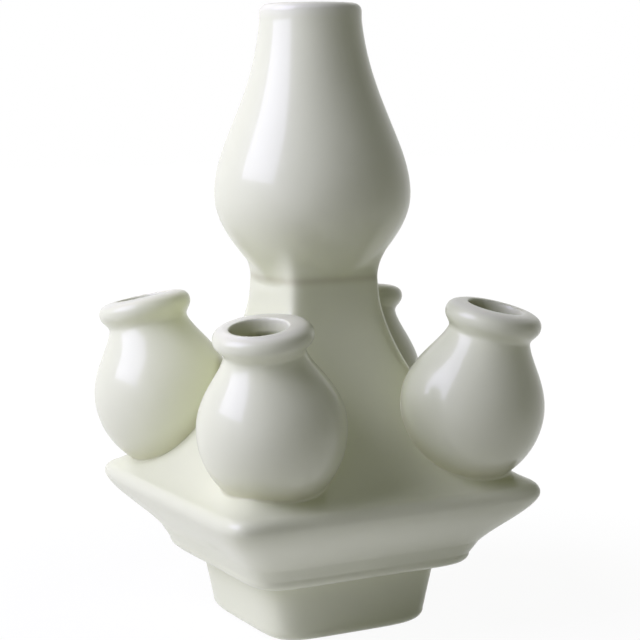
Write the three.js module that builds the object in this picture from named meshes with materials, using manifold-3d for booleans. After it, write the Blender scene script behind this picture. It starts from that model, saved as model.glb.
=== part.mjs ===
// The top tier of a stacking tulip vase: a square foot, an ogee cornice, a hipped
// roof, a round neck vase on the roof's shaft, and a leaning spout on each corner.
// Millimetres, +Z up, origin at the centre of the face that it stands on.
// The square's sides run along X and Y, and the front is -Y.
import * as THREE from 'three';
import { mergeVertices } from 'three/addons/utils/BufferGeometryUtils.js';
import Module from 'manifold-3d';

const wasm = await Module();
wasm.setup();

// Heights of the four castings that stand on each other
const footHeight = 24.6;
const corniceHeight = 29.2;
const roofHeight = 75;
const neckVaseHeight = 110;

// Clearances between the castings
const socketClearance = 0.3;
const seatGap = 0.3;

// The raised rim by which one casting is centred in the next
const spigotHeight = 4.7;
const spigotWall = 3;

// Foot: a tapered square collar with a floor slab let into it
const footTopHalf = 36.8;
const footBaseHalf = 34;
const footEdgeRadius = 5.2;
const footCornerRadius = 12;
const footWall = 6;
const footRingWidth = 5;
const floorRise = 3;
const floorThickness = 5;

// Cornice: an upright band below, an ogee above it, and the eave's round edge
const bandHeight = 9;
const bandBottomHalf = 47;
const bandTopHalf = 49.7;
const bandEdgeRadius = 4;
const bandCornerRadius = 12;
const ogeeUpperPull = 6.5;
const ogeeLowerPull = 8;
const corniceWall = 5;
const corniceFloor = 5;
const eaveHalf = 66.6;
const eaveEdgeRadius = 4.3;
const eaveUnderAngle = 24;
const eaveCornerRadius = 12;
const eaveRimWidth = 6.6;

// Roof: a concave hip from the eave up to a square shaft
const roofSlopeAngle = 24;
const roofSlopePull = 20;
const roofWall = 5;
const lipDepth = 4;
const lipWall = 3.7;
const shaftHalf = 20.1;
const shaftTaper = 1.4;
const shaftPull = 24;
const shaftCornerRadius = 5.5;
const shaftWall = 6.1;
const shaftBoreLength = 10;

// Neck vase: a round pear-shaped body on a square stub
const stubHeight = 12.5;
const neckRootRadius = 17.5;
const neckRootHeight = 3;
const bellyRadius = 37.85;
const bellyHeight = 38;
const lipRadius = 19.6;
const lipRounding = 3;
const neckWall = 4.6;
const neckBoreRadius = 14;
const neckLowerPulls = [[0.69, 0.46], [1, 0.69]];
const neckUpperPulls = [[0, 0.29], [0.84, 0.53]];

// Spouts: four pots with rolled rims, measured along their own leaning axes
const spoutReach = 55.5;
const spoutRise = 6;
const spoutLean = 11;
const spoutHeight = 65.8;
const spoutBaseRadius = 14;
const spoutBaseBulge = 1;
const spoutBellyRadius = 27.7;
const spoutBellyHeight = 26.5;
const spoutNeckRadius = 15.7;
const spoutNeckHeight = 55;
const spoutRimRadius = 18.5;
const spoutRimHeight = 61.2;
const spoutMouthRadius = 10.3;
const spoutWall = 4.6;
const throatRadius = 8;
const spoutLowerPulls = [[0.55, 0.17], [1, 0.55]];
const spoutUpperPulls = [[0, 0.47], [0.85, 0.75]];
const spoutCollarPulls = [[0, 0.38], [1, 0.52]];

// Each spout was set by hand, so each differs a little from the others: where it
// stands (turn in degrees, reach and rise), how it leans (swing and lean in
// degrees), and how much slimmer its neck and rim are
const spoutSettings = {
  spout_front_left: {
    corner: 225, turn: 2.4, swing: -8, lean: -0.6, reach: -2.5, rise: -0.7, slimmer: 0.9 },
  spout_front_right: {
    corner: 315, turn: -0.9, swing: -2.5, lean: 2.6, reach: 1.5, rise: 0.9, slimmer: 0 },
  spout_rear_right: {
    corner: 45, turn: 0, swing: 0, lean: -2, reach: -1, rise: 0, slimmer: 0 },
  spout_rear_left: {
    corner: 135, turn: 1.4, swing: 2, lean: 0.8, reach: 2, rise: 1, slimmer: 0 },
};

// How finely the curves are cut
const cornerSteps = 5;
const edgeSteps = 3;
const insideSteps = 7;
const ogeeSteps = 8;
const hipSteps = 12;
const bodySteps = 8;
const rimSteps = 4;
const roundSides = 32;
const spoutSides = 24;

// A square's corners keep at least this radius, and its sides at least twice this flat
const leastCorner = 1;
const leastFlat = 0.5;

// How far a cut reaches past what it cuts, and how near an inside curve comes to the
// corner that it runs into
const overcut = 1;
const curveMargin = 1;

// Levels and sizes that follow from the ones above
const shoulderLevel = footHeight;
const bandTopLevel = shoulderLevel + bandHeight;
const eaveLevel = shoulderLevel + corniceHeight;
const neckLevel = eaveLevel + roofHeight;
const topLevel = neckLevel + neckVaseHeight;
const spigotHalf = footTopHalf - footWall + spigotWall;
const corniceMouthHalf = eaveHalf - eaveRimWidth;
const lipOuterHalf = corniceMouthHalf - socketClearance;
const lipInnerHalf = lipOuterHalf - lipWall;
const shaftBoreHalf = shaftHalf - shaftWall;
const shaftSpigotHalf = shaftBoreHalf + spigotWall;
const neckSocketHalf = shaftSpigotHalf + socketClearance;

const glaze = { color: 0xd5d8c6, roughness: 0.12, metalness: 0 };
const bareClay = { color: 0xdad6c8, roughness: 0.75, metalness: 0 };

const point = (x, y) => new THREE.Vector2(x, y);
const radians = (degrees) => THREE.MathUtils.degToRad(degrees);

// Points along a curve without its first, which the stretch before it holds
function along(curve, steps) {
  return curve.getPoints(steps).slice(1);
}

function arc(centre, radius, fromAngle, toAngle, steps) {
  const clockwise = toAngle < fromAngle;
  const path = new THREE.EllipseCurve(
    centre.x, centre.y, radius, radius, radians(fromAngle), radians(toAngle), clockwise);
  return path.getPoints(steps);
}

// Points of a curve, moved sideways by a distance to its left
function beside(curve, steps, distance) {
  return curve.getPoints(steps).map((p, i) => {
    const run = curve.getTangent(i / steps);
    return point(p.x - run.y * distance, p.y + run.x * distance);
  });
}

// A curve between two points, whose two pulls are shares of the way across and up
function swelling(from, to, pulls) {
  const [first, second] = pulls.map(([across, up]) => point(
    THREE.MathUtils.lerp(from.x, to.x, across), THREE.MathUtils.lerp(from.y, to.y, up)));
  return new THREE.CubicBezierCurve(from, first, second, to);
}

// A ring of points round a square with rounded corners, counterclockwise
function squareRing(half, corner, level) {
  const radius = Math.min(Math.max(corner, leastCorner), half - leastFlat);
  const centre = half - radius;
  const ring = [];
  for (let side = 0; side < 4; side += 1) {
    const middle = Math.PI / 4 + side * Math.PI / 2;
    const cx = Math.sign(Math.cos(middle)) * centre;
    const cy = Math.sign(Math.sin(middle)) * centre;
    for (let step = 0; step <= cornerSteps; step += 1) {
      const angle = side * Math.PI / 2 + (step / cornerSteps) * Math.PI / 2;
      ring.push(cx + radius * Math.cos(angle), cy + radius * Math.sin(angle), level);
    }
  }
  return ring;
}

// A solid whose level sections are rounded squares. Each outline point gives half
// the side and the level, and corner(half) gives the corner radius there. A closed
// outline makes a frame round an opening, and an open one is capped at both ends.
function squareLoft(outline, corner, closed) {
  const ringSize = 4 * (cornerSteps + 1);
  const positions = outline.flatMap((p) => squareRing(p.x, corner(p.x), p.y));
  const index = [];
  const lastRing = closed ? outline.length : outline.length - 1;
  for (let ring = 0; ring < lastRing; ring += 1) {
    const next = (ring + 1) % outline.length;
    for (let i = 0; i < ringSize; i += 1) {
      const j = (i + 1) % ringSize;
      const [a, b] = [ring * ringSize + i, ring * ringSize + j];
      const [c, d] = [next * ringSize + j, next * ringSize + i];
      index.push(a, b, c, a, c, d);
    }
  }
  if (!closed) {
    [0, outline.length - 1].forEach((ring) => {
      const centre = positions.length / 3;
      positions.push(0, 0, outline[ring].y);
      for (let i = 0; i < ringSize; i += 1) {
        const [a, b] = [ring * ringSize + i, ring * ringSize + (i + 1) % ringSize];
        index.push(...(ring === 0 ? [centre, b, a] : [centre, a, b]));
      }
    });
  }
  const geometry = new THREE.BufferGeometry();
  geometry.setAttribute('position', new THREE.Float32BufferAttribute(positions, 3));
  geometry.setIndex(index);
  return geometry;
}

// A solid of revolution about +Z. Each outline point gives the radius and the level.
function turned(outline, sides) {
  return new THREE.LatheGeometry(outline, sides).rotateX(Math.PI / 2);
}

function enclosedVolume(position, index) {
  const [a, b, c] = [new THREE.Vector3(), new THREE.Vector3(), new THREE.Vector3()];
  let volume = 0;
  for (let i = 0; i < index.length; i += 3) {
    a.fromBufferAttribute(position, index[i]);
    b.fromBufferAttribute(position, index[i + 1]);
    c.fromBufferAttribute(position, index[i + 2]);
    volume += a.dot(b.cross(c)) / 6;
  }
  return volume;
}

// A closed mesh as a solid that can be joined and cut, with its faces turned out
function solid(geometry) {
  const source = geometry.clone();
  source.deleteAttribute('normal');
  source.deleteAttribute('uv');
  const merged = mergeVertices(source, 1e-4);
  const index = [];
  for (let i = 0; i < merged.index.count; i += 3) {
    const [a, b, c] = [0, 1, 2].map((k) => merged.index.getX(i + k));
    if (a !== b && b !== c && c !== a) index.push(a, b, c);
  }
  if (enclosedVolume(merged.attributes.position, index) < 0) index.reverse();
  return new wasm.Manifold(new wasm.Mesh({
    numProp: 3,
    vertProperties: new Float32Array(merged.attributes.position.array),
    triVerts: new Uint32Array(index),
  }));
}

function piece(name, body, finish) {
  const mesh = body.getMesh();
  const geometry = new THREE.BufferGeometry();
  geometry.setAttribute('position', new THREE.BufferAttribute(mesh.vertProperties, 3));
  geometry.setIndex(new THREE.BufferAttribute(mesh.triVerts, 1));
  geometry.computeVertexNormals();
  const node = new THREE.Mesh(geometry, new THREE.MeshStandardMaterial(finish));
  node.name = name;
  return node;
}

// Corner radii: the cornice's and the roof's change from one end to the other
const footCorner = () => footCornerRadius;
const footInnerCorner = () => footCornerRadius - footWall;

function cornerBetween(lowHalf, lowRadius, highHalf, highRadius) {
  return (half) => {
    const share = THREE.MathUtils.clamp((half - lowHalf) / (highHalf - lowHalf), 0, 1);
    return THREE.MathUtils.lerp(lowRadius, highRadius, share);
  };
}
const corniceCorner = cornerBetween(bandTopHalf, bandCornerRadius, eaveHalf, eaveCornerRadius);
const roofCorner = cornerBetween(shaftHalf, shaftCornerRadius, eaveHalf, eaveCornerRadius);

// Half the width inside the foot's wall at a level
function footInsideHalf(level) {
  const share = (level - footEdgeRadius) / (shoulderLevel - footEdgeRadius);
  return THREE.MathUtils.lerp(footBaseHalf, footTopHalf, share) - footWall;
}

// Foot
function footCollar() {
  const edge = arc(point(footBaseHalf - footEdgeRadius, footEdgeRadius), footEdgeRadius, -90, 0, 4);
  const ringHalf = footBaseHalf - footEdgeRadius - footRingWidth;
  const outline = [
    ...edge,
    point(footTopHalf, shoulderLevel),
    point(spigotHalf, shoulderLevel),
    point(spigotHalf, shoulderLevel + spigotHeight),
    point(footTopHalf - footWall, shoulderLevel + spigotHeight),
    point(footTopHalf - footWall, shoulderLevel),
    point(footInsideHalf(floorRise), floorRise),
    point(ringHalf, floorRise),
    point(ringHalf, 0),
  ];
  const outerHalf = footBaseHalf - footEdgeRadius;
  const corner = (half) => (half >= outerHalf ? footCorner() : footInnerCorner());
  return piece('foot_collar', solid(squareLoft(outline, corner, true)), glaze);
}

function footFloor() {
  const half = footInsideHalf(floorRise) - socketClearance;
  const ring = squareRing(half, footInnerCorner(), 0);
  const shape = new THREE.Shape();
  shape.moveTo(ring[0], ring[1]);
  for (let i = 3; i < ring.length; i += 3) shape.lineTo(ring[i], ring[i + 1]);
  const slab = new THREE.ExtrudeGeometry(shape, { depth: floorThickness, bevelEnabled: false });
  const node = piece('foot_floor', solid(slab), bareClay);
  node.position.z = floorRise;
  return node;
}

// The ogee from the eave's round edge down to the top of the band
const eaveCentre = point(eaveHalf - eaveEdgeRadius, eaveLevel);

function ogeeCurve() {
  const under = radians(-eaveUnderAngle);
  const top = point(
    eaveCentre.x + eaveEdgeRadius * Math.cos(under),
    eaveCentre.y + eaveEdgeRadius * Math.sin(under));
  const bottom = point(bandTopHalf, bandTopLevel);
  const bandRun = point(bandTopHalf - bandBottomHalf, bandHeight - bandEdgeRadius).normalize();
  const topRun = point(Math.sin(under), -Math.cos(under));
  return new THREE.CubicBezierCurve(
    bottom,
    bottom.clone().addScaledVector(bandRun, ogeeLowerPull),
    top.clone().addScaledVector(topRun, ogeeUpperPull),
    top);
}

function corniceDish() {
  const ogee = ogeeCurve();
  const edgeCentre = point(bandBottomHalf - bandEdgeRadius, shoulderLevel + bandEdgeRadius);
  const floorLevel = shoulderLevel + corniceFloor;
  const holeHalf = spigotHalf + socketClearance;
  const mouthLevel = eaveLevel - lipDepth - socketClearance;
  const inside = beside(ogee, insideSteps, corniceWall)
    .filter((p) => p.x < corniceMouthHalf - curveMargin)
    .filter((p) => p.y < mouthLevel - curveMargin && p.y > floorLevel + curveMargin)
    .reverse();
  const outline = [
    point(holeHalf, shoulderLevel),
    ...arc(edgeCentre, bandEdgeRadius, -90, 0, edgeSteps),
    point(bandTopHalf, bandTopLevel),
    ...along(ogee, ogeeSteps),
    ...arc(eaveCentre, eaveEdgeRadius, -eaveUnderAngle, 0, edgeSteps).slice(1),
    point(corniceMouthHalf, eaveLevel),
    point(corniceMouthHalf, mouthLevel),
    ...inside,
    point(bandBottomHalf - corniceWall, floorLevel),
    point(holeHalf, floorLevel),
  ];
  return piece('cornice_dish', solid(squareLoft(outline, corniceCorner, true)), glaze);
}

// The hip, from the eave's round edge up to the shaft, grown outwards by a distance
const hipCurve = (() => {
  const slope = radians(roofSlopeAngle);
  const start = point(
    eaveCentre.x + eaveEdgeRadius * Math.sin(slope),
    eaveCentre.y + eaveEdgeRadius * Math.cos(slope));
  const end = point(shaftHalf, neckLevel);
  return new THREE.CubicBezierCurve(
    start,
    point(start.x - roofSlopePull * Math.cos(slope), start.y + roofSlopePull * Math.sin(slope)),
    point(end.x + shaftTaper, end.y - shaftPull),
    end);
})();

// The solid that the roof's outside would fill, with a skin of the given thickness
function roofEnvelope(skin) {
  const outline = [
    point(eaveHalf, shoulderLevel),
    ...arc(eaveCentre, eaveEdgeRadius + skin, 0, 90 - roofSlopeAngle, edgeSteps),
    ...beside(hipCurve, hipSteps, -skin).slice(1),
    point(shaftHalf + skin, neckLevel + stubHeight),
  ];
  return solid(squareLoft(outline, roofCorner, false));
}

function roofShell() {
  const boreFoot = neckLevel - shaftBoreLength;
  const inside = beside(hipCurve, hipSteps, roofWall)
    .filter((p) => p.x < lipInnerHalf - curveMargin && p.x > shaftBoreHalf + curveMargin)
    .filter((p) => p.y < boreFoot - curveMargin)
    .reverse();
  const insideEave = inside.at(-1);
  const insideDrop = (lipInnerHalf - insideEave.x) * Math.tan(radians(roofSlopeAngle));
  const outline = [
    ...arc(eaveCentre, eaveEdgeRadius, 0, 90 - roofSlopeAngle, edgeSteps),
    ...along(hipCurve, hipSteps),
    point(shaftSpigotHalf, neckLevel),
    point(shaftSpigotHalf, neckLevel + spigotHeight),
    point(shaftBoreHalf, neckLevel + spigotHeight),
    point(shaftBoreHalf, boreFoot),
    ...inside,
    point(lipInnerHalf, insideEave.y - insideDrop),
    point(lipInnerHalf, eaveLevel - lipDepth),
    point(lipOuterHalf, eaveLevel - lipDepth),
    point(lipOuterHalf, eaveLevel),
  ];
  return solid(squareLoft(outline, roofCorner, true));
}

// Neck vase
function neckVase() {
  const root = point(neckRootRadius, neckLevel + neckRootHeight);
  const belly = point(bellyRadius, neckLevel + bellyHeight);
  const lipFoot = point(lipRadius, topLevel - 2 * lipRounding);
  const lower = swelling(root, belly, neckLowerPulls);
  const upper = swelling(belly, lipFoot, neckUpperPulls);
  const lipCentre = point(lipRadius - lipRounding, topLevel - lipRounding);
  const mouthRadius = lipRadius - neckWall;
  const outside = turned([
    point(0, root.y),
    ...lower.getPoints(bodySteps),
    ...along(upper, bodySteps),
    ...arc(lipCentre, lipRounding, 0, 90, edgeSteps),
    point(0, topLevel),
  ], roundSides);
  const stub = squareLoft([
    point(shaftHalf, neckLevel),
    point(shaftHalf - shaftTaper * stubHeight / shaftPull, neckLevel + stubHeight),
  ], () => shaftCornerRadius, false);
  const inside = turned([
    point(0, neckLevel - overcut),
    point(neckBoreRadius, neckLevel - overcut),
    ...beside(lower, insideSteps, neckWall).filter((p) => p.x > neckBoreRadius + curveMargin),
    ...beside(upper, insideSteps, neckWall).slice(1),
    point(mouthRadius, topLevel - lipRounding),
    point(mouthRadius + overcut, topLevel + overcut),
    point(0, topLevel + overcut),
  ], roundSides);
  const socket = squareLoft([
    point(neckSocketHalf, neckLevel - overcut),
    point(neckSocketHalf, neckLevel + spigotHeight + socketClearance),
  ], roofCorner, false);
  const body = solid(outside).add(solid(stub)).subtract(solid(inside)).subtract(solid(socket));
  return piece('neck_vase', body, glaze);
}

// One spout in its own frame: its axis is +Z and its foot is at the origin
function spoutBody(slimmer) {
  const belly = point(spoutBellyRadius, spoutBellyHeight);
  const neck = point(spoutNeckRadius - slimmer, spoutNeckHeight);
  const rim = point(spoutRimRadius - slimmer, spoutRimHeight);
  const crown = point((rim.x + spoutMouthRadius) / 2, spoutHeight);
  const mouth = point(spoutMouthRadius, spoutRimHeight);
  const lowerBody = swelling(point(spoutBaseRadius, spoutBaseBulge), belly, spoutLowerPulls);
  const upperBody = swelling(belly, neck, spoutUpperPulls);
  const collar = swelling(neck, rim, spoutCollarPulls);
  const overRim = new THREE.QuadraticBezierCurve(rim, point(rim.x, crown.y), crown);
  const intoMouth = new THREE.QuadraticBezierCurve(crown, point(mouth.x, crown.y), mouth);
  const outline = [
    point(0, 0),
    ...lowerBody.getPoints(bodySteps),
    ...along(upperBody, bodySteps),
    ...along(collar, rimSteps),
    ...along(overRim, rimSteps),
    ...along(intoMouth, rimSteps),
    point(spoutMouthRadius, spoutNeckHeight),
    ...beside(upperBody, insideSteps, spoutWall).reverse()
      .filter((p) => p.x > spoutMouthRadius + curveMargin),
    ...beside(lowerBody, insideSteps, spoutWall).reverse().slice(1),
    point(0, spoutBaseBulge + spoutWall),
  ];
  return turned(outline, spoutSides);
}

// Where a spout stands and how it leans, as the matrix of its own frame
function spoutPlacement(setting) {
  const bearing = radians(setting.corner + setting.turn);
  const reach = spoutReach + setting.reach;
  const foot = new THREE.Vector3(
    reach * Math.cos(bearing), reach * Math.sin(bearing), eaveLevel + spoutRise + setting.rise);
  const lean = new THREE.Matrix4().makeRotationY(radians(spoutLean + setting.lean));
  const swing = new THREE.Matrix4().makeRotationZ(bearing + radians(setting.swing));
  return swing.multiply(lean).setPosition(foot);
}

function place(node, placement) {
  placement.decompose(node.position, node.quaternion, node.scale);
  return node;
}

// A solid moved by a matrix
function moved(body, matrix) {
  return body.transform(matrix.toArray());
}

function spout(name, setting, envelope) {
  const placement = spoutPlacement(setting);
  const cutter = moved(envelope, placement.clone().invert());
  const body = solid(spoutBody(setting.slimmer)).subtract(cutter);
  return place(piece(name, body, glaze), placement);
}

// The bore through the roof that lets a stem reach the water below a spout
function throat(setting) {
  const bore = turned([
    point(0, -spoutBellyHeight),
    point(throatRadius, -spoutBellyHeight),
    point(throatRadius, spoutBellyHeight),
    point(0, spoutBellyHeight),
  ], spoutSides);
  return moved(solid(bore), spoutPlacement(setting));
}

const settings = Object.entries(spoutSettings);
const envelope = roofEnvelope(seatGap);
const throats = settings.map(([, setting]) => throat(setting));
const boredRoof = throats.reduce((body, bore) => body.subtract(bore), roofShell());

const tulipVase = new THREE.Group();
tulipVase.name = 'tulip_vase';
tulipVase.add(footCollar(), footFloor(), corniceDish());
tulipVase.add(piece('hipped_roof', boredRoof, glaze));
tulipVase.add(neckVase());
settings.forEach(([name, setting]) => tulipVase.add(spout(name, setting, envelope)));

export default tulipVase;
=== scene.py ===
"""A pale glazed tulip vase: nine luted castings dressed over their CAD nodes, and a plain studio."""
import logging
import math
from abc import ABC, abstractmethod
from bisect import bisect_right
from collections.abc import Callable, Iterable, Sequence
from dataclasses import dataclass
from enum import Enum
from functools import cached_property, partial
from typing import ClassVar

import bmesh
import bpy
from mathutils import Matrix, Vector, noise


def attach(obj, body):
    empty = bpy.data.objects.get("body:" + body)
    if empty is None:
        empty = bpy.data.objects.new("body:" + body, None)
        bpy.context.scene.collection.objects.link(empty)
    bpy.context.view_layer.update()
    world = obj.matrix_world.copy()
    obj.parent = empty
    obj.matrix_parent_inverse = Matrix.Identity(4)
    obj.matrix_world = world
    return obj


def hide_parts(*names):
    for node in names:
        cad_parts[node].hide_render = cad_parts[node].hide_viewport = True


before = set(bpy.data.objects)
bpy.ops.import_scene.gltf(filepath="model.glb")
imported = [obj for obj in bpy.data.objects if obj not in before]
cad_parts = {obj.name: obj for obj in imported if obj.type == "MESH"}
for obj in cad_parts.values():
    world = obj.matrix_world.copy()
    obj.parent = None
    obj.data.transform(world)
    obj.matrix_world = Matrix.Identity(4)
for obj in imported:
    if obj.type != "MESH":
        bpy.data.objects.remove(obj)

log = logging.getLogger("tulip_vase")

Colour = tuple[float, float, float, float]
Pulls = tuple[tuple[float, float], tuple[float, float]]

MM = 0.001
FULL_TURN = 2 * math.pi
QUARTER_TURN = math.pi / 2

# Name of the attribute that says how much the glaze pools and how much shade is painted in creases and
# hollows, or how thin the glaze is where negative
POOL_SHADE_LAYER = "glaze_pool_and_painted_shade"
# Share of a corner's radius that is lost on each axis at the corner's middle
CORNER_LOSS = 1 - math.sqrt(0.5)
# Distance between a joint and the ring that keeps the glaze's shading smooth across it
SEAM_MARGIN = 0.06
# Distance that a curved inside wall keeps from the crisp rings next to it
RING_GAP = 1.0
# Points of a shell that are nearer to each other than this are one point
SAME_POINT = 0.001
# How many times a stretch is halved to find a height on a curve
CURVE_HALVINGS = 26
# How many times a stretch is halved to find where a spout enters the roof
CONTACT_HALVINGS = 18


class Slot(Enum):
    """The record's material slots."""

    GLAZE = "celadon_glaze"
    CLAY = "bare_clay"


def smooth_step(low: float, high: float, value: float) -> float:
    """Rise smoothly from 0 where the value is low to 1 where it is high."""
    share = min(max((value - low) / (high - low), 0.0), 1.0)
    return share * share * (3 - 2 * share)


def soft_max(first: float, second: float, blend: float) -> float:
    """The larger of two values, rounded where they differ by less than the blend."""
    near = max(blend - abs(first - second), 0.0) / blend
    return max(first, second) + near * near * blend / 4


def halved(low: float, high: float, rounds: int, holds: Callable[[float], bool]) -> float:
    """Close in on the place where a test stops holding.

    Args:
        low: a place where the test holds.
        high: a place where it doesn't.
        rounds: how many times the stretch between them is halved.
        holds: the test.

    Returns:
        The middle of what is left of the stretch.
    """
    for _ in range(rounds):
        middle = (low + high) / 2
        if holds(middle):
            low = middle
        else:
            high = middle
    return (low + high) / 2


def arc(centre: Vector, radius: float, start: float, end: float, steps: int) -> list[Vector]:
    """Points on an outline's arc, between two angles in degrees from the outward direction."""
    angles = [math.radians(start + (end - start) * step / steps) for step in range(steps + 1)]
    return [centre + radius * Vector((math.cos(angle), math.sin(angle))) for angle in angles]


def turned(reach: float, heading: float, height: float) -> Vector:
    """The place at a distance from an upright axis, in a direction round it and at a height."""
    return Vector((reach * math.cos(heading), reach * math.sin(heading), height))


def in_scene(name: str, data: bpy.types.ID) -> bpy.types.Object:
    """Make an object and put it in the scene.

    Args:
        name: the object's name.
        data: its mesh, lamp or camera.

    Returns:
        The object.
    """
    made = bpy.data.objects.new(name, data)
    bpy.context.scene.collection.objects.link(made)
    return made


def as_object(name: str, shape: bmesh.types.BMesh) -> bpy.types.Object:
    """Turn a finished shape into an object in the scene, and free it.

    Args:
        name: the object's name.
        shape: the shape, in metres.

    Returns:
        The object, which stands at the origin with its place in its mesh.
    """
    data = bpy.data.meshes.new(name)
    shape.to_mesh(data)
    shape.free()
    return in_scene(name, data)


@dataclass(frozen=True)
class Sweep:
    """A smooth curve with two pulls: a stretch of an outline, or a fillet's section."""

    start: Vector
    first: Vector
    second: Vector
    end: Vector

    @classmethod
    def pulled(cls, start: Vector, end: Vector, pulls: Pulls) -> "Sweep":
        """Make a stretch of an outline from shares of its width and height.

        Args:
            start: its first point.
            end: its last point.
            pulls: its two pulls, each as a share of the way across and of the way up.

        Returns:
            The stretch.
        """
        span = end - start
        first, second = (start + Vector((span.x * across, span.y * up)) for across, up in pulls)
        return cls(start, first, second, end)

    @classmethod
    def bowed(cls, start: Vector, pull: Vector, end: Vector) -> "Sweep":
        """Make a stretch that has a single pull."""
        return cls(start, start.lerp(pull, 2 / 3), end.lerp(pull, 2 / 3), end)

    def at(self, share: float) -> Vector:
        """The point at a share of the way along."""
        rest = 1 - share
        return (self.start * rest ** 3 + self.first * 3 * rest * rest * share
                + self.second * 3 * rest * share * share + self.end * share ** 3)

    def run(self, share: float) -> Vector:
        """The direction of travel at a share of the way along."""
        rest = 1 - share
        return ((self.first - self.start) * rest * rest
                + (self.second - self.first) * 2 * rest * share
                + (self.end - self.second) * share * share).normalized()

    def points(self, steps: int) -> list[Vector]:
        """The ends of equal steps along the stretch, without its start."""
        return [self.at(step / steps) for step in range(1, steps + 1)]

    def beside(self, steps: int, distance: float) -> list[Vector]:
        """Follow the stretch at a distance to its left.

        Args:
            steps: how many steps it is cut into.
            distance: how far away the points lie.

        Returns:
            The points, both ends included.
        """
        moved = []
        for step in range(steps + 1):
            run = self.run(step / steps)
            moved.append(self.at(step / steps) + Vector((-run.y, run.x)) * distance)
        return moved

    def across_at(self, height: float) -> float:
        """The distance from the axis at a height, on a stretch that only rises."""
        share = halved(0.0, 1.0, CURVE_HALVINGS, lambda place: self.at(place).y < height)
        return self.at(share).x


class Outline:
    """A line of points that is read by the distance along it."""

    def __init__(self, points: Sequence[Vector]) -> None:
        """Measure the line.

        Args:
            points: its points in order.
        """
        self.points = list(points)
        self.marks = [0.0]
        for before, after in zip(self.points, self.points[1:]):
            self.marks.append(self.marks[-1] + (after - before).length)
        self.length = self.marks[-1]

    def at(self, distance: float) -> Vector:
        """Read the line.

        Args:
            distance: how far along it, which is kept between its ends.

        Returns:
            The point.
        """
        distance = min(max(distance, 0.0), self.length)
        high = bisect_right(self.marks, distance, 1, len(self.marks) - 1)
        low = high - 1
        gap = self.marks[high] - self.marks[low]
        return self.points[low].lerp(self.points[high], (distance - self.marks[low]) / gap)

    def run(self, distance: float, probe: float) -> Vector:
        """The direction of travel at a distance, read a probe's length before and after it."""
        return (self.at(distance + probe) - self.at(distance - probe)).normalized()


@dataclass(frozen=True)
class Plan:
    """The level section of a square casting, with soft corners."""

    half: float
    corner: float

    @cached_property
    def power(self) -> float:
        """The power of the rounded square's equation."""
        return -math.log(2) / math.log(1 - CORNER_LOSS * self.corner / self.half)

    def reach(self, heading: float) -> float:
        """The distance from the axis to the side in a direction."""
        across, along = abs(math.cos(heading)), abs(math.sin(heading))
        return self.half * (across ** self.power + along ** self.power) ** (-1 / self.power)

    def outside(self, x: float, y: float) -> float:
        """Measure how far a point lies outside the section.

        Args:
            x: the point's place across.
            y: its place along.

        Returns:
            The distance along the nearest side's direction, negative inside.
        """
        longest = max(abs(x), abs(y), 1e-9)
        fill = (abs(x) / longest) ** self.power + (abs(y) / longest) ** self.power
        return longest * fill ** (1 / self.power) - self.half


def square_headings(per_side: int, crowding: float) -> list[float]:
    """Directions round a square body, closer together near its corners.

    Args:
        per_side: how many directions there are from one side's middle to the next.
        crowding: the spacing at a corner as a share of the even spacing.

    Returns:
        The directions in radians, counterclockwise.
    """
    headings = []
    for side in range(4):
        corner = QUARTER_TURN * (side + 0.5)
        for step in range(per_side):
            place = 2 * step / per_side - 1
            bent = place * (crowding + (1 - crowding) * place * place)
            headings.append(corner + bent * QUARTER_TURN / 2)
    return headings


SQUARE_HEADINGS = square_headings(per_side=48, crowding=0.32)


def square_ring(plan: Plan, height: float) -> list[Vector]:
    """A level ring round a square casting."""
    return [turned(plan.reach(heading), heading, height) for heading in SQUARE_HEADINGS]


def round_ring(radius: float, height: float) -> list[Vector]:
    """A level ring round a turned casting, in the square castings' directions."""
    return [turned(radius, heading, height) for heading in SQUARE_HEADINGS]


@dataclass(frozen=True)
class Levels:
    """The heights at which the castings meet, and the fits between them, in millimetres."""

    shoulder: float = 24.6
    eave: float = 53.8
    neck: float = 128.8
    top: float = 238.8
    clearance: float = 0.3
    spigot_height: float = 4.7
    spigot_wall: float = 3.0


LEVELS = Levels()


@dataclass(frozen=True)
class HandFinish:
    """The small unevenness of a form that was cast, trimmed and sponged by hand."""

    seed: int = 7
    wave: float = 31.0
    depth: float = 0.16
    settle: float = 12.0

    def shift(self, spot: Vector) -> Vector:
        """Find how far a place on the vase lies from the true form.

        Args:
            spot: the place, in millimetres.

        Returns:
            The shift, in millimetres, which is level at the vase's foot and top.
        """
        uneven = noise.noise_vector(spot / self.wave) * self.depth
        rise = smooth_step(0, self.settle, spot.z)
        fall = smooth_step(0, self.settle, LEVELS.top - spot.z)
        uneven.z *= rise * fall
        return uneven


HAND = HandFinish()


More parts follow.
